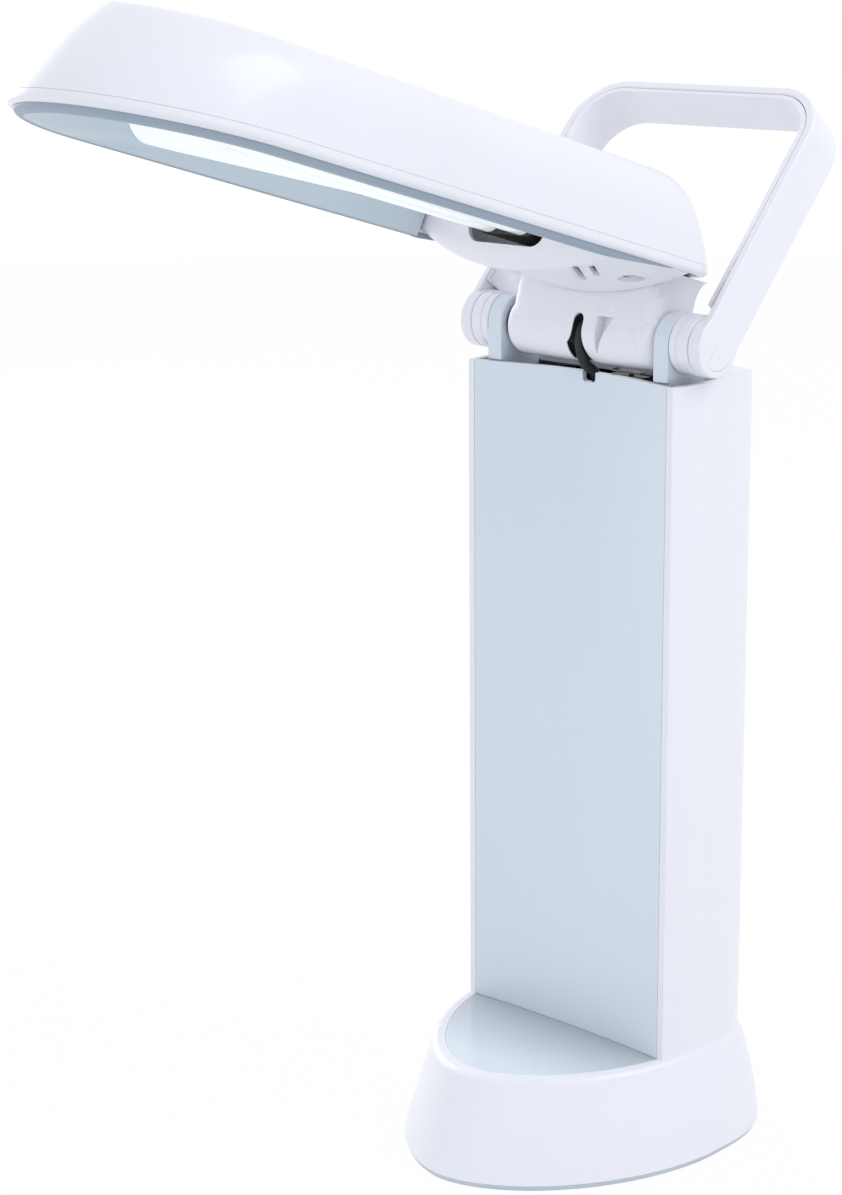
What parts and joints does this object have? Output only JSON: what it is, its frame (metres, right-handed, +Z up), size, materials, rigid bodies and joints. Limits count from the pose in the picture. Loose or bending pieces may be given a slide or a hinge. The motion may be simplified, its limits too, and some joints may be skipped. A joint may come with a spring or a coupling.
{
  "type": "task lamp",
  "caption": "Folding desk task lamp: a long tilting head with a twin-tube fluorescent lamp, on an upright column with a flared foot and a swinging carrying handle.",
  "frame": {"origin": "centre of the base's underside", "axes": "+Z up, -Y towards the front (the side the head reaches over), +X to the right as seen from the front"},
  "size_m": [0.135, 0.3466, 0.4594],
  "materials": {
    "white_shell": "satin gloss white ABS",
    "grey_panel": "gloss pale blue-grey ABS",
    "foot_rim": "matte grey ABS",
    "pad": "matt rubber foam",
    "black_part": "black nylon",
    "lead": "black flexible PVC",
    "steel": "zinc plated steel",
    "iron": "varnished steel",
    "copper": "varnished copper winding",
    "reflector": "bright white, glossy",
    "tube": "phosphor-coated glass",
    "white_inner": "matt white nylon"
  },
  "bodies": {
    "column": {"base_pad": "pad", "base_plate": "foot_rim", "weight_plate": "iron", "ballast_core": "iron", "ballast_coil": "copper", "cord_gland": "black_part", "column_housing": "white_shell", "front_panel": "grey_panel", "ledge_tray": "grey_panel", "hinge_bracket": "grey_panel", "hub_collar_left": "white_shell", "hub_collar_right": "white_shell", "friction_washer_left": "steel", "friction_washer_right": "steel", "pivot_bolt_left": "steel", "pivot_bolt_right": "steel", "switch_body": "black_part", "hinge_lead": "lead", "base_screw_1": "steel", "base_screw_2": "steel", "base_screw_3": "steel", "base_screw_4": "steel"},
    "head": {"hinge_barrel": "white_shell", "neck_screw_left": "steel", "neck_screw_right": "steel", "head_bezel": "white_shell", "head_shell": "white_shell", "reflector": "reflector", "lamp_tube": "tube", "lamp_base": "white_inner", "lamp_socket": "white_inner", "socket_cover": "white_shell", "tube_clip": "white_inner"},
    "handle": {"handle_outer": "white_shell", "handle_inner": "white_shell", "hub_cap_left": "white_shell", "hub_cap_right": "white_shell"},
    "lever": {"switch_lever": "steel"},
    "plunger": {"switch_plunger": "white_inner"}
  },
  "joints": [
    {"name": "head_fold", "type": "hinge", "parent": "column", "child": "head", "pos_m": [0, 0.0192, 0.328], "axis": [1, 0, 0], "range_deg": [-15, 106], "deforming": ["hinge_lead"]},
    {"name": "handle_swing", "type": "hinge", "parent": "column", "child": "handle", "pos_m": [0, 0.0192, 0.328], "axis": [1, 0, 0], "range_deg": [-50, 45]},
    {"name": "switch_lever_tilt", "type": "hinge", "parent": "column", "child": "lever", "pos_m": [0.0242, 0.0192, 0.31435], "axis": [0, 1, 0], "range_deg": [-0.5, 2.7]},
    {"name": "switch_plunger_travel", "type": "slide", "parent": "column", "child": "plunger", "axis": [0, 0, 1], "range_m": [-0.0001, 0.0003]}
  ],
  "couplings": [
    {"joint": "switch_lever_tilt", "follows": "head_fold", "ratio": 0.024},
    {"joint": "switch_plunger_travel", "follows": "head_fold", "m_per_rad": 0.00011}
  ]
}
